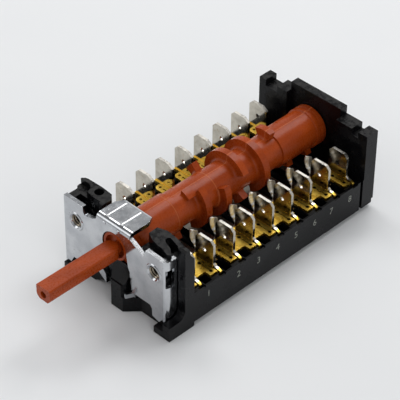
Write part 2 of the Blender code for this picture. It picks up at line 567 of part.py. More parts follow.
def add_front_block(body):
    """Block behind the bracket, with the side rim, foot, hooks and detent boss."""
    front, back = BLOCK_FRONT_Y, BLOCK_REAR_Y + 0.3
    inner = BRACKET_HALF - SHEET - SEAT_GAP
    join(body, block(-17.4, inner, front, back, 0.0, BLOCK_TOP_Z - 2.0))
    join(body, block(-18.3, -17.0, RIM_FRONT_Y, back, 0.0, BLOCK_TOP_Z))
    rim = [(RIM_FRONT_Y, 25.4), (RIM_FRONT_Y + 0.5, 26.0),
           (RIM_FRONT_Y + 1.4, 26.0), (back - 1.3, 23.4), (back, 22.2), (back, 0.0),
           (FOOT_FRONT_Y, 0.0), (FOOT_FRONT_Y, 4.4),
           *arc(RIM_FRONT_Y - 2.4, 6.8, 2.4, -90, 0, 6)]
    join(body, prism(rim, BRACKET_HALF + SEAT_GAP, NEAR_WALL_X, "X"))
    join(body, block(inner - 1.0, BRACKET_HALF + 1.0, RIM_FRONT_Y, back, 0.0, 22.0))
    join(body, block(inner - 1.4, BRACKET_HALF + 1.0, FOOT_FRONT_Y, front + 1, 0.0, 2.0))
    join(body, block(-18.4, -14.0, FOOT_FRONT_Y + 0.8, front + 1, 0.0, 1.9))
    cut(body, rod((0, AXIS_Z), 7.2, front - 4, back + 0.01, "Y", 48))
    boss = [(-1.9, front + 0.05), (0.5, BOSS_FRONT_Y), (4.1, BOSS_FRONT_Y), (4.9, -11.3),
            (4.9, front + 0.05)]
    foot = [(3.4, BOSS_FRONT_Y), (4.7, BOSS_FRONT_Y), (8.0, front + 0.1), (8.0, front + 0.4),
            (3.4, front + 0.4)]
    join(body, prism(boss, 0.0, 12.9, "Z"), prism(foot, 0.0, 4.6, "Z"))
    cut(body, prism([(BOSS_FRONT_Y - 1, BOSS_TOP_Z), (BOSS_FRONT_Y + 0.5, BOSS_TOP_Z),
                     (front - 0.4, 11.6), (front - 0.4, 13.5), (BOSS_FRONT_Y - 1, 13.5)],
                    -2.5, 5.5, "X"))
    cut(body, prism([(-10.0, -0.5), (-1.2, -0.5), (-1.2, 3.4), (-3.5, 3.0), (-7.0, 1.4)],
                    front - 0.5, front + 2.4, "Y"))
    cut(body, block(-7.2, 7.2, front - 4, back + 0.01, AXIS_Z, 30.0))
    cut(body, block(-7.2, 7.2, back - 3.0, back + 3.0, AXIS_Z - 4, 30.0))
    cut(body, rod((0, CHAMBER_Y), CHAMBER_RADIUS, CHAMBER_FLOOR_Z, AXIS_Z, "Z", 24))
    for side_x in (-1, 1):
        cut(body, rod((side_x * HOLE_X, AXIS_Z), 3.1, front - 1, front + 3.4, "Y", 24))
    left = [(-7.2, -7.6), (-7.2, -4.4), (-8.7, -2.8), (-12.6, -2.5), (-17.6, -2.7),
            *arc(-17.4, -4.4, 1.7, 90, 270, 6), (-12.7, -6.6), (-9.5, -7.3)]
    join(body, prism(left, 20.3, 24.9, "Z"))
    arm = [(-18.2, front + 0.1), (-16.4, front + 0.1), (-12.6, -6.4), (-12.4, -4.0), (-18.2, -4.0)]
    join(body, prism(arm, 20.3, 23.2, "Z"))
    cut(body, rod((-16.2, -6.2), 2.3, 23.2, 27.0, "Z", 28),
        block(-19.5, -16.2, -8.5, -3.9, 23.2, 27.0),
        rod((-11.6, -4.4), 1.3, 22.0, 27.0, "Z", 24),
        block(-16.0, -8.6, front + 0.5, -6.8, 12.0, 25.0))
    hook = [(8.0, -6.1), (10.5, -7.3), (12.7, -7.8), (14.3, -7.9), (17.0, -8.7), (18.0, -8.1),
            (15.7, -6.4), (13.6, -5.7), (12.6, -5.1), (12.5, -4.2), (13.1, -3.6), (16.4, -4.5),
            (18.7, -5.9), (19.8, -5.6), (20.0, -4.4), (17.45, -3.4), (14.2, -2.6), (10.8, -2.2),
            (7.9, -3.1)]
    join(body, prism(hook, 20.9, 24.2, "Z"))
    cut(body, block(inner, BRACKET_HALF + 0.25, -9.5, RIM_FRONT_Y - 0.05, 19.9, 22.8 + SEAT_GAP))
    join(body, block(8.55, 11.85, -5.55, -3.35, 18.0, 21.45))


def detent_ball():
    shape = bmesh.new()
    bmesh.ops.create_uvsphere(shape, u_segments=12, v_segments=8, radius=BALL_RADIUS)
    top = AXIS_Z - DETENT_RADIUS - SEAT_GAP
    bmesh.ops.translate(shape, vec=(0, CHAMBER_Y, top - BALL_RADIUS), verts=shape.verts)
    ball = place(shape, "detent_ball", SPRING_STEEL, 60)
    set_origin(ball, (0, CHAMBER_Y, top - BALL_RADIUS))
    return ball


def detent_spring():
    """Coil spring standing in the boss under the ball."""
    low = CHAMBER_FLOOR_Z + SEAT_GAP + SPRING_WIRE
    top = AXIS_Z - DETENT_RADIUS - SEAT_GAP - 2 * BALL_RADIUS - SEAT_GAP - SPRING_WIRE
    curve = bpy.data.curves.new("coil", "CURVE")
    curve.dimensions = "3D"
    curve.bevel_depth = SPRING_WIRE * MM
    curve.bevel_resolution = 0
    curve.use_fill_caps = True
    line = curve.splines.new("POLY")
    count = SPRING_TURNS * 8
    line.points.add(count)
    for step in range(count + 1):
        part = step / count
        angle = math.tau * SPRING_TURNS * part
        line.points[step].co = (SPRING_RADIUS * MM * math.cos(angle),
                                (CHAMBER_Y + SPRING_RADIUS * math.sin(angle)) * MM,
                                (low + (top - low) * part) * MM, 1.0)
    source = bpy.data.objects.new("coil", curve)
    bpy.context.scene.collection.objects.link(source)
    bpy.context.view_layer.update()
    mesh = bpy.data.meshes.new_from_object(source)
    bpy.data.objects.remove(source)
    shape = bmesh.new()
    shape.from_mesh(mesh)
    bmesh.ops.remove_doubles(shape, verts=shape.verts, dist=1e-7)
    bmesh.ops.scale(shape, vec=(1 / MM, 1 / MM, 1 / MM), verts=shape.verts)
    return place(shape, "detent_spring", SPRING_STEEL, 60)


housing()
front_bracket()
camshaft()
detent_ball()
detent_spring()
for letter, group in zip("abcd", NEAR_GROUPS):
    near_terminal(f"near_terminal_{letter}", group)
for station_number in FAR_STATIONS:
    far_terminal(station_number)
    fixed_contact(station_number)
    contact_leaf(station_number)
    moving_contact(station_number)
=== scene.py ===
# %% [markdown]
# # An oven selector switch
#
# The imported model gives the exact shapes: the moulded body, the folded bracket,
# the camshaft and the stamped terminals. This script leaves those shapes alone
# and adds what makes them look real: softened edges, procedural materials,
# screw threads, fillets, station numbers, a plain studio and the camera.
#
# Each cell builds on the ones above it, so run them from top to bottom.

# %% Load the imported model
import json
import math

import bmesh
import bpy
from mathutils import Matrix, Vector


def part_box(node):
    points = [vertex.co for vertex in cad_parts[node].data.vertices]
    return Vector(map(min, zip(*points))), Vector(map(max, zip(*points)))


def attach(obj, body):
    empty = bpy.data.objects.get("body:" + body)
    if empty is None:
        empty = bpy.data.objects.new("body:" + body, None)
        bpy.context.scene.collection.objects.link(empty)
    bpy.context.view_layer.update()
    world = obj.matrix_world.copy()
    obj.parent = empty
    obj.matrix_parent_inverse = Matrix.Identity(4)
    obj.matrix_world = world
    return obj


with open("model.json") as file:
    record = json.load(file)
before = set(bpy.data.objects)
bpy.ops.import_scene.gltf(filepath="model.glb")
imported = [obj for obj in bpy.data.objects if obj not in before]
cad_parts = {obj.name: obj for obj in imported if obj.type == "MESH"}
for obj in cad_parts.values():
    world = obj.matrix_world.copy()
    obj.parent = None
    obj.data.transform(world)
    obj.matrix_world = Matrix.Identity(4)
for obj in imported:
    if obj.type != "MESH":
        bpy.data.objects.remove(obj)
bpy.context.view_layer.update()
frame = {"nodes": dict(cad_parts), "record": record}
NODES = frame["nodes"]
MM = 0.001

# %% [markdown]
# ## Places read from the model
#
# A pattern such as the crease of a finger repeats at every switching station. Its
# place could be typed in, but then it would drift if the model changed. So the
# pitch, the camshaft's axis and the wall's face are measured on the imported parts.

# %% Measure the stations, the axis and the near wall
leaf_low, leaf_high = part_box("contact_leaf_1")
STATION_PITCH = (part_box("contact_leaf_2")[0].y - leaf_low.y) / MM
FINGER_CENTRE = (leaf_low.y + leaf_high.y) / 2 / MM
turning = next(j for j in frame["record"]["behaviour"]["joints"] if j["name"] == "camshaft_turn")
AXIS_Z = turning["pos_m"][2] / MM
NEAR_FACE_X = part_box("housing")[1].x / MM
HOLE_SPACING = 28.0
HOLE_X = HOLE_SPACING / 2

print(f"pitch {STATION_PITCH:.2f}, axis at {AXIS_Z:.2f}, near face at {NEAR_FACE_X:.2f} mm")

# %% [markdown]
# ## Shader maths that reads like maths
#
# A `Wire` wraps one output socket of a shader node. Adding or multiplying two
# wires makes the Math node that does it, so a pattern can be written as a
# formula instead of a page of node links. The reflected forms, such as
# `__rsub__`, are what make `1 - mask` work with the number first.


# %% A wrapper for shader sockets
class Wire:
    def __init__(self, nodes, socket):
        self.nodes, self.socket = nodes, socket

    def math(self, kind, other=None):
        node = self.nodes.tree.nodes.new("ShaderNodeMath")
        node.operation = kind
        self.nodes.plug(node.inputs[0], self)
        if other is not None:
            self.nodes.plug(node.inputs[1], other)
        return Wire(self.nodes, node.outputs[0])

    def __add__(self, other):
        return self.math("ADD", other)

    def __sub__(self, other):
        return self.math("SUBTRACT", other)

    def __mul__(self, other):
        return self.math("MULTIPLY", other)

    def __mod__(self, other):
        return self.math("FLOORED_MODULO", other)

    def __rsub__(self, other):
        return self * -1 + other

    __radd__, __rmul__ = __add__, __mul__

    def __abs__(self):
        return self.math("ABSOLUTE")

    def near(self, value, half):
        """1 where this is close to a value, fading to 0 at half a width away."""
        return abs(self - value).span(half * 0.6, half, 1.0, 0.0)

    def span(self, low, high, out_low=0.0, out_high=1.0):
        """Stretch the range low..high to out_low..out_high, clamped and smooth."""
        return self.nodes.node("MapRange", "Result", {"interpolation_type": "SMOOTHSTEP"},
                               Value=self, From_Min=low, From_Max=high,
                               To_Min=out_low, To_Max=out_high)


print("sockets can be added and multiplied")

# %% [markdown]
# ## One way to make any node
#
# A `NodeKit` holds a node tree and makes nodes in it. A method takes the node's
# type, its settings, and the values or wires of its sockets, so no line of the
# materials below has to fetch a node or link two sockets by hand.


# %% Nodes by type, settings and sockets
class NodeKit:
    def __init__(self, tree):
        self.tree = tree

    def plug(self, target, value):
        if isinstance(value, Wire):
            self.tree.links.new(value.socket, target)
        else:
            target.default_value = value

    def node(self, kind, output=0, settings=None, **inputs):
        """Any node: settings are its properties, inputs its sockets by name or number."""
        made = self.tree.nodes.new("ShaderNode" + kind)
        for key, value in (settings or {}).items():
            setattr(made, key, value)
        for key, value in inputs.items():
            key = int(key) if key.isdigit() else key.replace("_", " ")
            self.plug(made.inputs[key], value)
        return Wire(self, made.outputs[output])


print("nodes can be made by name")

# %% [markdown]
# ## One material in millimetres
#
# Image textures would need an unwrapped mesh and would blur close up. Procedural
# noise needs neither, so every finish here is worked out from the position on the
# real part. A `Paint` is one such material: it divides positions by a millimetre
# first, so that a noise of size 6 has patches about 6 mm wide.


# %% A paint around the Principled shader
class Paint(NodeKit):
    def __init__(self, name, **constants):
        self.material = bpy.data.materials.new(name)
        self.material.use_nodes = True
        super().__init__(self.material.node_tree)
        self.shader = self.tree.nodes["Principled BSDF"]
        for key, value in constants.items():
            self.shader.inputs[key.replace("_", " ")].default_value = value
        self.heights = []

    def place(self, stretch=(1, 1, 1)):
        """Position on the object in millimetres, stretched along each axis."""
        spot = self.node("TexCoord", "Object")
        scale = [value / MM for value in stretch]
        return self.node("Mapping", settings={"vector_type": "POINT"}, Vector=spot, Scale=scale)

    def axis(self, letter):
        return self.node("SeparateXYZ", letter, Vector=self.place())

    def facing_up(self):
        """1 on faces that look upwards, 0 on upright and hanging ones."""
        return self.node("SeparateXYZ", "Z", Vector=self.node("TexCoord", "Normal")).span(0.55, 0.9)

    def noise(self, size, detail=3.0, stretch=(1, 1, 1)):
        """Soft random pattern from 0 to 1 whose features are about size mm wide."""
        return self.node("TexNoise", "Fac", Vector=self.place(stretch), Scale=1.0 / size,
                         Detail=detail)

    def spots(self, size):
        """Distance to the nearest of many scattered points about size mm apart."""
        return self.node("TexVoronoi", "Distance", Vector=self.place(), Scale=1.0 / size)

    def blend(self, amount, first, second):
        """Mix two colours; each is a wire or an (r, g, b)."""
        made = self.tree.nodes.new("ShaderNodeMix")
        made.data_type = "RGBA"
        self.plug(made.inputs["Factor"], amount)
        for socket, value in zip([s for s in made.inputs if s.type == "RGBA"], (first, second)):
            self.plug(socket, value if isinstance(value, Wire) else (*value, 1.0))
        return Wire(self, next(s for s in made.outputs if s.type == "RGBA"))

    def colour(self, value):
        self.plug(self.shader.inputs["Base Color"], value)

    def rough(self, value):
        self.plug(self.shader.inputs["Roughness"], value)

    def bump(self, height, depth_mm, strength=1.0):
        """Raise the surface by height times depth; several calls add up."""
        made = self.tree.nodes.new("ShaderNodeBump")
        made.inputs["Strength"].default_value = strength
        made.inputs["Distance"].default_value = depth_mm * MM
        self.plug(made.inputs["Height"], height)
        if self.heights:
            self.tree.links.new(self.heights[-1].outputs[0], made.inputs["Normal"])
        self.heights.append(made)
        self.tree.links.new(made.outputs[0], self.shader.inputs["Normal"])


print("paints are measured in millimetres")

# %% [markdown]
# ## Black moulded plastic
#
# The body is a glossy black moulding with a fine grain. Pure black would look
# like a hole, so two near-blacks are blended in soft clouds. On the hooks and the
# rear wall's crest the upward faces are painted grey, partly scuffs and partly a
# painted sheen where the light falls, by a mask that multiplies height, noise and
# the direction of the face.

# %% Black plastic
SCUFF_AND_SHEEN_Z = (19.0, 22.0)


def black_plastic():
    paint = Paint("black_moulding", IOR=1.5, Specular_IOR_Level=0.15)
    cloud, grain = paint.noise(6.0, 4.0), paint.noise(0.45, 3.0)
    top = paint.axis("Z").span(*SCUFF_AND_SHEEN_Z)
    # Grey on upward faces near the top: scuffs and a painted sheen.
    scuff_and_sheen = top * paint.noise(1.4, 4.0).span(0.34, 0.72) * paint.facing_up()
    flecks = paint.spots(1.3).span(0.10, 0.04) * paint.noise(0.35, 2.0).span(0.5, 0.7)
    dark = paint.blend(cloud.span(0.35, 0.75), (0.0026, 0.0026, 0.0032), (0.0060, 0.0060, 0.0070))
    grey = paint.blend(scuff_and_sheen * 0.36, dark, (0.060, 0.058, 0.054))
    paint.colour(paint.blend(flecks * 0.45, grey, (0.055, 0.052, 0.048)))
    paint.rough(cloud.span(0.3, 0.7, 0.20, 0.31) + flecks * 0.2 + scuff_and_sheen * 0.16)
    paint.bump(grain, 0.012, 0.5)
    paint.bump(grain * top, 0.05, 0.6)
    paint.bump(paint.noise(5.0, 2.0), 0.05, 0.35)
    return paint.material


BLACK = black_plastic()
print(BLACK.name, "has", len(BLACK.node_tree.nodes), "nodes")

# %% [markdown]
# ## Red-brown camshaft plastic
#
# The camshaft is a satin thermoset, pressed in a split mould. The mould leaves a
# pale parting line along the drum and fine rings round it. They could be cut as
# geometry, but they are a hair high, so colour and a bump are enough. An angle
# round the shaft's axis, by arctangent, says where the parting line runs.

# %% Red-brown plastic
PARTING_ANGLE = 86.0
LINE_HALF_ANGLE = 1.5
DRUM_FRONT_Y = -6.0
RING_YS = (7.1, 21.7)
LINE_COLOUR = (0.66, 0.20, 0.075)


def red_plastic():
    paint = Paint("red_brown_moulding", IOR=1.5, Specular_IOR_Level=0.18)
    flow = paint.noise(4.0, 4.0, (1.0, 0.35, 1.0))
    height, along = paint.axis("Z") - AXIS_Z, paint.axis("Y")
    around = paint.node("Math", settings={"operation": "ARCTAN2"},
                        **{"0": height, "1": paint.axis("X")}) * math.degrees(1.0)
    sides = [around.near(turn, LINE_HALF_ANGLE) for turn in (PARTING_ANGLE, PARTING_ANGLE - 180.0)]
    seam = (sides[0] + sides[1]) * along.span(DRUM_FRONT_Y, DRUM_FRONT_Y + 0.4)
    lines = seam + (along.near(RING_YS[0], 0.14) + along.near(RING_YS[1], 0.14))
    base = paint.blend(flow.span(0.3, 0.72), (0.270, 0.037, 0.0042), (0.390, 0.059, 0.0072))
    specks = paint.spots(1.6).span(0.085, 0.03)
    marked = paint.blend(specks * 0.5, base, (0.62, 0.20, 0.075))
    paint.colour(paint.blend(lines * 0.42, marked, LINE_COLOUR))
    paint.rough(paint.noise(0.5, 2.0).span(0.3, 0.7, 0.24, 0.34))
    paint.bump(paint.noise(0.8, 3.0), 0.012, 0.5)
    paint.bump(flow, 0.05, 0.3)
    paint.bump(lines, 0.04, 0.9)
    paint.bump(along.span(RING_YS[0] - 0.1, RING_YS[0] + 0.1), 0.06, 0.8)
    return paint.material


RED = red_plastic()
print(RED.name, "has", len(RED.node_tree.nodes), "nodes")

# %% [markdown]
# ## Zinc-plated bracket
#
# Plated sheet steel mirrors its surroundings, so nearly all of its look is in the
# roughness: fine streaks along the rolling direction, and dull spots where it was
# touched. Sheared edges and the pressed ribs are rougher than the rolled face, and
# a painted highlight makes them brighter. Inside the two threaded holes the colour
# is darkened as painted shade, and the surface is rougher.

# %% Zinc plate
RIB_XS = (-3.55, 1.6)
TONGUE_TOP_Z = 24.6
HOLE_EDGE_SQUARED = (2.7, 3.2)


def zinc_plate():
    paint = Paint("zinc_plate", Metallic=1.0)
    streak = paint.noise(1.4, 3.0, (1.0, 1.0, 0.08))
    cloud = paint.noise(5.0, 3.0)
    across, height = paint.axis("X"), paint.axis("Z")
    side, drop = abs(across) - HOLE_X, height - AXIS_Z
    # Painted shade: a mask for the inside of the two threaded holes.
    hole_shade = (side * side + drop * drop).span(*HOLE_EDGE_SQUARED, 1.0, 0.0)
    # Painted highlight: masks for the pressed ribs and the upward cut edges.
    rib_highlight = across.near(RIB_XS[0], 0.55) + across.near(RIB_XS[1], 0.55)
    rib_highlight = rib_highlight * height.span(TONGUE_TOP_Z - 0.02, TONGUE_TOP_Z + 0.1)
    upward_highlight = paint.facing_up() * height.span(TONGUE_TOP_Z - 1.2, TONGUE_TOP_Z - 0.9, 1.0, 0.0)
    highlit = (rib_highlight + upward_highlight * 0.3).span(0.0, 1.0)
    dull = paint.noise(0.9, 4.0).span(0.60, 0.75)
    base = paint.blend(cloud.span(0.3, 0.7), (0.47, 0.485, 0.51), (0.60, 0.615, 0.635))
    worn = paint.blend(dull * 0.35, base, (0.33, 0.335, 0.345))
    # The painted highlight lifts the worn colour towards white.
    worn = paint.blend(highlit * 0.9, worn, (0.95, 0.955, 0.96))
    paint.colour(paint.blend(hole_shade, worn, (0.11, 0.10, 0.09)))
    paint.rough(streak.span(0.25, 0.75, 0.10, 0.21) + dull * 0.12 + hole_shade * 0.15 + highlit * 0.3)
    paint.bump(streak, 0.006, 0.5)
    paint.bump(cloud, 0.08, 0.3)
    return paint.material


ZINC = zinc_plate()
print(ZINC.name, "has", len(ZINC.node_tree.nodes), "nodes")

# %% [markdown]
# ## Tinned brass terminals
#
# Each strip is stamped from brass and only its upright tabs are tinned, so one
# material changes with height: brass below the plate's top face, tin above it.
# Two small pilot holes and the thin seam between them repeat on every station.
# They are drawn as dark marks, painted shade in the holes and the seam, by taking
# the remainder of the position along the strip, divided by the pitch, which makes
# one station's pattern serve them all.

# %% Brass strip and tinned tabs
TIN_FROM_Z = (11.42, 11.56)
# Painted shade at the foot of each tab: where it starts, where it fades, and its span across.
BASE_SHADE_FROM_Z = (11.405, 11.44)
BASE_SHADE_FADES_Z = (12.9, 15.2)
BASE_SHADE_XS = (11.5, 17.5)
PILOT_XS = (14.3, 18.4)
PILOT_SETBACK = 1.9
SEAM_HALF = 2.6


def from_station(along, offset):
    """Distance along the part to the nearest station's own line, in millimetres."""
    return abs((along + (STATION_PITCH / 2 - offset)) % STATION_PITCH - STATION_PITCH / 2)


def terminal_metal():
    paint = Paint("tinned_brass", Metallic=1.0)
    cloud = paint.noise(2.2, 4.0)
    across, along, height = paint.axis("X"), paint.axis("Y"), paint.axis("Z")
    tinned = height.span(*TIN_FROM_Z)
    brass = paint.blend(cloud.span(0.3, 0.7), (0.82, 0.50, 0.060), (0.98, 0.68, 0.130))
    tin = paint.blend(cloud.span(0.3, 0.7), (0.44, 0.41, 0.35), (0.60, 0.565, 0.49))
    stain = paint.noise(0.7, 4.0).span(0.58, 0.74)
    metal = paint.blend(stain * tinned * 0.4, paint.blend(tinned, brass, tin), (0.30, 0.19, 0.075))
    # Painted highlight: upward faces of the tinned tabs are lifted towards white.
    upward_highlight = paint.facing_up() * tinned
    metal = paint.blend(upward_highlight * 0.5, metal, (0.95, 0.92, 0.86))
    # Painted shade: the foot of each tab is darkened, fading upwards.
    base_shade = height.span(*BASE_SHADE_FROM_Z) * (height + cloud * 0.5).span(*BASE_SHADE_FADES_Z, 1.0, 0.0)
    base_shade = base_shade * across.span(BASE_SHADE_XS[0], BASE_SHADE_XS[0] + 0.3)
    base_shade = base_shade * across.span(BASE_SHADE_XS[1] - 0.3, BASE_SHADE_XS[1], 1.0, 0.0)
    metal = paint.blend(base_shade * 0.96, metal, (0.030, 0.022, 0.013))
    # Painted shade in the pilot holes and the seam between them.
    setback = from_station(along, -PILOT_SETBACK)
    pilot_shade = setback.span(0.10, 0.2, 1.0, 0.0) * across.near(sum(PILOT_XS) / 2, SEAM_HALF) * 0.6
    for x in PILOT_XS:
        offset = across - x
        pilot_shade = pilot_shade + (offset * offset + setback * setback).span(0.16, 0.34, 1.0, 0.0)
    paint.colour(paint.blend(pilot_shade * (1.0 - tinned) * 0.9, metal, (0.05, 0.025, 0.006)))
    paint.rough(cloud.span(0.3, 0.7, 0.09, 0.19) + stain * 0.1 + (1.0 - tinned) * 0.15
                + upward_highlight * 0.16)
    paint.bump(paint.noise(0.9, 3.0, (1.0, 1.0, 0.3)), 0.012, 0.5)
    paint.bump(paint.noise(2.5, 2.0), 0.05, 0.3)
    return paint.material


TERMINAL = terminal_metal()
print(TERMINAL.name, "has", len(TERMINAL.node_tree.nodes), "nodes")

# %% [markdown]
# ## Contact springs
#
# Each spring is a pale alloy strip whose finger stands up beside the drum. The
# fingers are creased down the middle and a little crumpled, and sparkle, while
# the flat part is painted much darker: painted shade and a painted reflection of
# the shadowed drum. The crease is a bump: a ridge that is highest on the finger's
# centre line, again found with the station's pattern.

# %% Leaf alloy
UPRIGHT_FROM_Z = (10.4, 10.9)


def leaf_metal():
    paint = Paint("leaf_alloy", Metallic=0.9)
    cloud = paint.noise(1.5, 3.0)
    upright = paint.axis("Z").span(*UPRIGHT_FROM_Z)
    across = from_station(paint.axis("Y"), FINGER_CENTRE)
    highlit = paint.blend(cloud.span(0.3, 0.7), (0.82, 0.79, 0.72), (1.0, 0.98, 0.93))
    # Painted shade: the flat part gets a dark copy of the alloy, the upright finger a bright one.
    paint.colour(paint.blend(upright, (0.30, 0.27, 0.23), highlit))
    paint.rough(cloud.span(0.3, 0.7, 0.12, 0.2) + upright * 0.22)
    paint.bump((1.0 - across) * upright, 0.42, 1.0)
    paint.bump(paint.noise(0.8, 2.0, (1.0, 0.6, 1.0)) * upright, 0.30, 0.9)
    paint.bump(paint.noise(3.0, 2.0), 0.04, 0.4)
    return paint.material


LEAF = leaf_metal()
print(LEAF.name, "has", len(LEAF.node_tree.nodes), "nodes")

# %% [markdown]
# ## Small plain metals and ink
#
# Contact buttons, the detent spring and ball, and the threads are small, so one
# function serves them: two tones, and a roughness that wanders between two
# values. The numbers are worn ink, which is rougher and thinner in places.


# %% Plain metals and number ink
def plain_metal(name, dark, light, low, high):
    paint = Paint(name, Metallic=1.0)
    cloud = paint.noise(0.8, 3.0)
    paint.colour(paint.blend(cloud, dark, light))
    paint.rough(cloud.span(0.3, 0.7, low, high))
    return paint.material


def number_ink():
    paint = Paint("number_ink")
    worn = paint.noise(0.25, 3.0)
    paint.colour(paint.blend(worn.span(0.42, 0.66), (0.27, 0.28, 0.24), (0.10, 0.11, 0.10)))
    paint.rough(worn.span(0.3, 0.7, 0.5, 0.65))
    return paint.material


SILVER = plain_metal("contact_silver", (0.66, 0.65, 0.62), (0.84, 0.83, 0.80), 0.2, 0.35)
STEEL = plain_metal("spring_steel", (0.36, 0.36, 0.37), (0.52, 0.52, 0.53), 0.18, 0.32)
DARK_STEEL = plain_metal("dark_steel", (0.07, 0.07, 0.075), (0.11, 0.11, 0.115), 0.15, 0.25)
THREAD = plain_metal("thread_steel", (0.20, 0.17, 0.13), (0.42, 0.36, 0.28), 0.15, 0.3)
INK = number_ink()
print(len(bpy.data.materials), "materials")

# %% [markdown]
# ## Shade curves smooth and corners sharp
#
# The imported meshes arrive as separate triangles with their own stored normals,
# which would fight any bevel. A small geometry node group drops those normals
# and shades an edge smooth only where its two faces meet at a gentle angle.

# %% Clean shading as geometry nodes
GENTLE_ANGLE = math.radians(32)


def clean_shading():
    tree = bpy.data.node_groups.new("clean_shading", "GeometryNodeTree")
    for direction in ("INPUT", "OUTPUT"):
        tree.interface.new_socket("Geometry", in_out=direction, socket_type="NodeSocketGeometry")
    start, end = tree.nodes.new("NodeGroupInput"), tree.nodes.new("NodeGroupOutput")
    drop = tree.nodes.new("GeometryNodeRemoveAttribute")
    drop.inputs["Name"].default_value = "custom_normal"
    faces = tree.nodes.new("GeometryNodeSetShadeSmooth")
    edges = tree.nodes.new("GeometryNodeSetShadeSmooth")
    edges.domain = "EDGE"
    angle = tree.nodes.new("GeometryNodeInputMeshEdgeAngle")
    gentle = tree.nodes.new("FunctionNodeCompare")
    gentle.operation = "LESS_EQUAL"
    gentle.inputs["B"].default_value = GENTLE_ANGLE
    link = tree.links.new
    link(start.outputs[0], drop.inputs["Geometry"])
    link(drop.outputs[0], faces.inputs["Geometry"])
    link(faces.outputs[0], edges.inputs["Geometry"])
    link(angle.outputs["Unsigned Angle"], gentle.inputs["A"])
    link(gentle.outputs["Result"], edges.inputs["Shade Smooth"])
    link(edges.outputs[0], end.inputs[0])
    return tree


CLEAN_SHADING = clean_shading()
print(len(CLEAN_SHADING.nodes), "nodes shade the edges")

# %% [markdown]
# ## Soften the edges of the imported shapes
#
# Modifiers do the finishing without touching the mesh itself: Weld joins the
# triangles, a planar Decimate merges flat areas, and a narrow Bevel rounds each
# real edge, so that it catches a line of light as a moulded or stamped edge does.
# The moulded body has the widest rounding and the thin springs the narrowest.


# %% Edge finishing by modifiers
def finish(name, surface, width_mm):
    """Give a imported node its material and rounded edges."""
    made = NODES[name]
    made.data.materials.clear()
    made.data.materials.append(surface)
    weld = made.modifiers.new("weld", "WELD")
    weld.merge_threshold = 2e-6
    flat = made.modifiers.new("flatten", "DECIMATE")
    flat.decimate_type = "DISSOLVE"
    flat.angle_limit = math.radians(0.4)
    if width_mm:
        bevel = made.modifiers.new("edge", "BEVEL")
        bevel.width = width_mm * MM
        bevel.segments = 2
        bevel.limit_method = "ANGLE"
        bevel.angle_limit = math.radians(30)
        bevel.use_clamp_overlap = True
    shade = made.modifiers.new("shading", "NODES")
    shade.node_group = CLEAN_SHADING
    level = made.modifiers.new("level", "WEIGHTED_NORMAL")
    level.keep_sharp = True


print("edges are rounded by modifiers")

# %% Give every node its finish
FINISHES = {"housing": (BLACK, 0.22), "front_bracket": (ZINC, 0.16), "camshaft": (RED, 0.16),
            "near_terminal": (TERMINAL, 0.16), "far_terminal": (TERMINAL, 0.16),
            "contact_leaf": (LEAF, 0.05), "fixed_contact": (SILVER, 0.08),
            "moving_contact": (SILVER, 0.08), "detent_ball": (DARK_STEEL, 0),
            "detent_spring": (STEEL, 0)}

for name in NODES:
    kind = next(kind for kind in FINISHES if name.startswith(kind))
    finish(name, *FINISHES[kind])
print("edges softened on", len(NODES), "nodes")

# %% [markdown]
# ## Added details
#
# What follows is modelled as real meshes, because each shows close up. Every
# added piece rides on the body that carries it, so that it follows when the
# camshaft turns, and gets its material.


# %% Meshes that ride on a body
def add_piece(name, surface, mesh, body):
    """Put a mesh in the scene, riding on a body of the part."""
    mesh.materials.clear()
    mesh.materials.append(surface)
    made = bpy.data.objects.new(name, mesh)
    bpy.context.scene.collection.objects.link(made)
    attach(made, body)
    return made


def close_tube(shape, rings):
    """Skin a row of rings of corners into a closed tube with capped ends."""
    count = len(rings[0])
    for near, far in zip(rings, rings[1:]):
        for corner in range(count):
            after = (corner + 1) % count
            shape.faces.new((near[corner], near[after], far[after], far[corner]))
    shape.faces.new(rings[0])
    shape.faces.new(rings[-1])


def as_mesh(name, shape):
    """Turn a finished bmesh into a mesh with its faces outwards."""
    bmesh.ops.recalc_face_normals(shape, faces=shape.faces)
    mesh = bpy.data.meshes.new(name)
    shape.to_mesh(mesh)
    shape.free()
    return mesh


print("details can be added")

# %% [markdown]
# ## Screw threads
#
# The two holes of the bracket take M4 screws, so a ridge with the M4 pitch of
# 0.7 mm winds through each. A stack of rings would be simpler but would look
# wrong from the side: a triangle carried along a helix gives the real rising turn.

# %% Screw threads in the bracket
THREAD_PITCH = 0.7
THREAD_STEPS = 36
THREAD_ROOT, THREAD_CREST = 1.68, 1.38
THREAD_HALF = 0.26
THREAD_YS = (-10.27, -8.75)


def thread(x):
    """A V-shaped ridge wound inside a hole along Y."""
    shape = bmesh.new()
    start, end = THREAD_YS
    rings = []
    for step in range(int((end - start) / THREAD_PITCH * THREAD_STEPS) + 1):
        angle = math.tau * step / THREAD_STEPS
        y = start + THREAD_PITCH * step / THREAD_STEPS
        profile = ((THREAD_ROOT, -THREAD_HALF), (THREAD_CREST, 0.0), (THREAD_ROOT, THREAD_HALF))
        rings.append([shape.verts.new(((x + radius * math.cos(angle)) * MM, (y + along) * MM,
                                       (AXIS_Z + radius * math.sin(angle)) * MM))
                      for radius, along in profile])
    close_tube(shape, rings)
    return shape


for x, side in ((-HOLE_X, "far"), (HOLE_X, "near")):
    name = f"thread_{side}"
    made = add_piece(name, THREAD, as_mesh(name, thread(x)), "body")
    print(name, "has", len(made.data.polygons), "faces")

# %% [markdown]
# ## Fillets at the roots of the cams
#
# A moulder never leaves a sharp inner corner, where a cam would crack. A bevel on
# the camshaft would round its outer edges only by a hair, so each corner between
# cam and drum gets its own hollow strip: an arc of 0.75 mm swept round the cam.

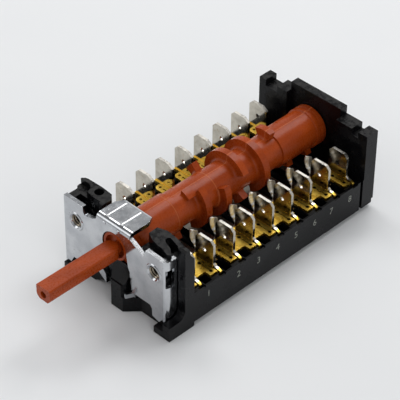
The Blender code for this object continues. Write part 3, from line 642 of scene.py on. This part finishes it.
# %% The cams and the drum under them
# Each cam is its station, then the angles where it starts and ends.
CAMS = [(1, 251, 301), (2, -76, 56), (3, -76, 31), (3, 134, 158), (4, 31, 206),
        (4, -61, -28), (5, -71, 201), (6, 73, 114), (7, 256, 291), (8, 262, 292)]
CAM_THICK, CAM_OFFSET = 2.0, 1.5
DRUM_RADIUS, DRUM_WIDE_RADIUS = 5.0, 5.45
SLIM_YS = (8.5, 45.6)
FILLET = 0.75
FILLET_SINK = 0.12
FILLET_TUCK = 0.1
FILLET_END_ANGLE = 1.5
FILLET_STEP_ANGLE = 5


def drum_radius(y):
    return DRUM_RADIUS if SLIM_YS[0] < y < SLIM_YS[1] else DRUM_WIDE_RADIUS


print("drum is", 2 * drum_radius(0), "mm across at the front")

# %% Sweep a hollow strip along each corner
def fillet(shape, face_y, side, start, end):
    """A hollow strip in the corner between drum and cam; side is -1 before the cam."""
    radius = drum_radius(face_y)
    profile = [(face_y + side * FILLET * (1 - math.sin(math.radians(turn))),
                radius + FILLET * (1 - math.cos(math.radians(turn)))) for turn in range(0, 91, 15)]
    profile += [(face_y - side * FILLET_TUCK, radius + FILLET),
                (face_y - side * FILLET_TUCK, radius - FILLET_SINK),
                (face_y + side * FILLET, radius - FILLET_SINK)]
    steps = max(2, round((end - start) / FILLET_STEP_ANGLE))
    start, end = start + FILLET_END_ANGLE, end - FILLET_END_ANGLE
    rings = []
    for step in range(steps + 1):
        angle = math.radians(start + (end - start) * step / steps)
        rings.append([shape.verts.new((r * math.cos(angle) * MM, y * MM,
                                       (AXIS_Z + r * math.sin(angle)) * MM))
                      for y, r in profile])
    close_tube(shape, rings)


for count, (station, start, end) in enumerate(CAMS, 1):
    shape = bmesh.new()
    middle = station * STATION_PITCH + CAM_OFFSET
    for side in (-1, 1):
        fillet(shape, middle + side * CAM_THICK / 2, side, start, end)
    for face in shape.faces:
        face.smooth = True
    name = f"cam_root_{count}"
    made = add_piece(name, RED, as_mesh(name, shape), "camshaft")
    made.data.set_sharp_from_angle(angle=math.radians(40))
print(len(CAMS), "cam roots made")

# %% [markdown]
# ## Station numbers
#
# Plain figures on the near wall number the stations. A text object would need its
# font wherever the model goes, so each is turned into a thin mesh at once. A turn
# matrix stands the flat letters upright and faces them along +X.

# %% Figures on the near wall
# The place along the wall and the height of each figure's centre, in millimetres.
NUMBER_SPOTS = {1: (1.9, 7.6), 2: (12.7, 7.4), 3: (20.0, 7.5), 4: (27.1, 7.5),
                5: (34.0, 7.5), 6: (41.2, 7.4), 7: (47.6, 7.6), 8: (55.0, 7.5)}
FIGURE_SIZE = 2.8
INK_THICK = 0.012
FACE_NEAR = Matrix(((0, 0, 1), (1, 0, 0), (0, 1, 0))).to_4x4()


def figure(value):
    """A flat figure as a mesh, lying in the XY plane."""
    text = bpy.data.curves.new(f"figure_{value}", "FONT")
    text.body = str(value)
    text.size = FIGURE_SIZE * MM
    text.extrude = INK_THICK * MM
    text.resolution_u = 3
    text.align_x, text.align_y = "CENTER", "CENTER"
    holder = bpy.data.objects.new("holder", text)
    bpy.context.scene.collection.objects.link(holder)
    bpy.context.view_layer.update()
    mesh = bpy.data.meshes.new_from_object(holder)
    bpy.data.objects.remove(holder)
    return mesh


for value, (y, z) in NUMBER_SPOTS.items():
    mesh = figure(value)
    spot = Vector((NEAR_FACE_X + INK_THICK, y, z)) * MM
    mesh.transform(Matrix.Translation(spot) @ FACE_NEAR)
    add_piece(f"number_{value}", INK, mesh, "body")
print(len(NUMBER_SPOTS), "numbers made")

# %% [markdown]
# ## Floor
#
# A pale matt floor keeps the part's shadow and shows nothing else. It is one
# large square just under the part, with a paper's faint unevenness.

# %% Floor
FLOOR_HALF = 1.5
FLOOR_DROP = 0.0001


def floor():
    mesh = bpy.data.meshes.new("floor")
    shape = bmesh.new()
    bmesh.ops.create_grid(shape, x_segments=1, y_segments=1, size=FLOOR_HALF)
    shape.to_mesh(mesh)
    shape.free()
    made = bpy.data.objects.new("floor", mesh)
    made.location.z = -FLOOR_DROP
    bpy.context.scene.collection.objects.link(made)
    paint = Paint("floor_paper", Roughness=0.9)
    paint.colour(paint.blend(paint.noise(30.0, 2.0), (0.80, 0.81, 0.82), (0.83, 0.835, 0.84)))
    mesh.materials.append(paint.material)


floor()
print("floor laid,", 2 * FLOOR_HALF, "m square")

# %% [markdown]
# ## Surround
#
# Bright metal shows what stands round it, so the surround is pale at the horizon
# and behind the part, and dimmer overhead and in front, which gives the metal
# something to mirror. The light that it sheds is kept apart from what is seen: a
# Light Path node shows the pale surround only to camera, glossy and transmission
# rays, and a weaker even light to the rest.

# %% World
SHOWN_COLOUR = (0.93, 0.935, 0.94, 1)
LIGHT_COLOUR, LIGHT_STRENGTH = (0.97, 0.985, 1.0, 1), 0.42


def surround():
    world = bpy.data.worlds.new("studio")
    world.use_nodes = True
    bpy.context.scene.world = world
    kit = NodeKit(world.node_tree)
    kit.tree.nodes.remove(kit.tree.nodes["Background"])
    direction = kit.node("TexCoord", "Generated")
    behind = kit.node("SeparateXYZ", "Y", Vector=direction).span(-0.5, 0.45, 0.5, 1.0)
    below = kit.node("SeparateXYZ", "Z", Vector=direction).span(0.15, 0.75, 1.0, 0.4)
    shown = kit.node("Background", Color=SHOWN_COLOUR, Strength=behind * below)
    light = kit.node("Background", Color=LIGHT_COLOUR, Strength=LIGHT_STRENGTH)
    seen = kit.node("LightPath", "Is Camera Ray")
    for ray in ("Is Glossy Ray", "Is Transmission Ray"):
        seen = seen.math("MAXIMUM", kit.node("LightPath", ray))
    mix = kit.node("MixShader", **{"0": seen, "1": light, "2": shown})
    kit.plug(kit.tree.nodes["World Output"].inputs["Surface"], mix)


surround()
print("surround ready")

# %% [markdown]
# ## Lamps
#
# Four large soft lamps light the part as the photograph does: the key from behind
# and above, which draws a bright line along the drum, a rim from the far side, a
# fill from the near side, and a weak one that opens the bracket's face. Area lamps
# are used because a point lamp would give hard shadows and pin-prick highlights.

# %% Lamps
TARGET = Vector((0.0, 0.02, 0.01))


def lamp(name, place, size, power):
    """A rectangular soft lamp that looks at the part; size in metres, power in watts."""
    light = bpy.data.lights.new(name, "AREA")
    light.shape = "RECTANGLE"
    light.size, light.size_y = size
    light.energy = power
    made = bpy.data.objects.new(name, light)
    made.location = place
    made.rotation_euler = (TARGET - Vector(place)).to_track_quat("-Z", "Y").to_euler()
    bpy.context.scene.collection.objects.link(made)


lamp("key", (-0.08, 0.42, 0.64), (0.42, 0.30), 2.05)
lamp("rim", (-0.44, 0.18, 0.70), (0.35, 0.25), 1.4)
lamp("fill", (0.55, -0.15, 0.40), (0.4, 0.4), 0.7)
lamp("front", (-0.45, -0.45, 0.35), (0.4, 0.3), 0.5)
print(len(bpy.data.lights), "lamps")

# %% [markdown]
# ## Camera
#
# The camera stands where the photograph was taken from. Its angles, place and
# focal length come from fitting the tabs, holes and shaft to the picture. From
# the two angles the three axes of the camera are built as vectors, turned by the
# small roll, and set as the columns of its matrix.

# %% Camera
AZIMUTH, ELEVATION, ROLL = (math.radians(v) for v in (44.349, 39.106, 0.584))
CAMERA_PLACE = (0.27244, -0.25881, 0.33192)
FOCAL_PIXELS, IMAGE_PIXELS = 1950.83, 400
SENSOR_WIDTH = 36.0


def camera():
    back = Vector((math.sin(AZIMUTH) * math.cos(ELEVATION),
                   -math.cos(AZIMUTH) * math.cos(ELEVATION), math.sin(ELEVATION)))
    right = Vector((math.cos(AZIMUTH), math.sin(AZIMUTH), 0.0))
    up = back.cross(right)
    across = right * math.cos(ROLL) + up * math.sin(ROLL)
    above = up * math.cos(ROLL) - right * math.sin(ROLL)
    lens = bpy.data.cameras.new("camera")
    lens.sensor_width = SENSOR_WIDTH
    lens.lens = FOCAL_PIXELS / IMAGE_PIXELS * SENSOR_WIDTH
    lens.clip_start, lens.clip_end = 0.01, 10.0
    made = bpy.data.objects.new("camera", lens)
    turn = Matrix((across, above, back)).transposed().to_4x4()
    made.matrix_world = Matrix.Translation(CAMERA_PLACE) @ turn
    bpy.context.scene.collection.objects.link(made)
    bpy.context.scene.camera = made
    return lens


lens = camera()
bpy.context.scene.view_settings.view_transform = "Standard"
print(f"camera ready, {lens.lens:.0f} mm lens")
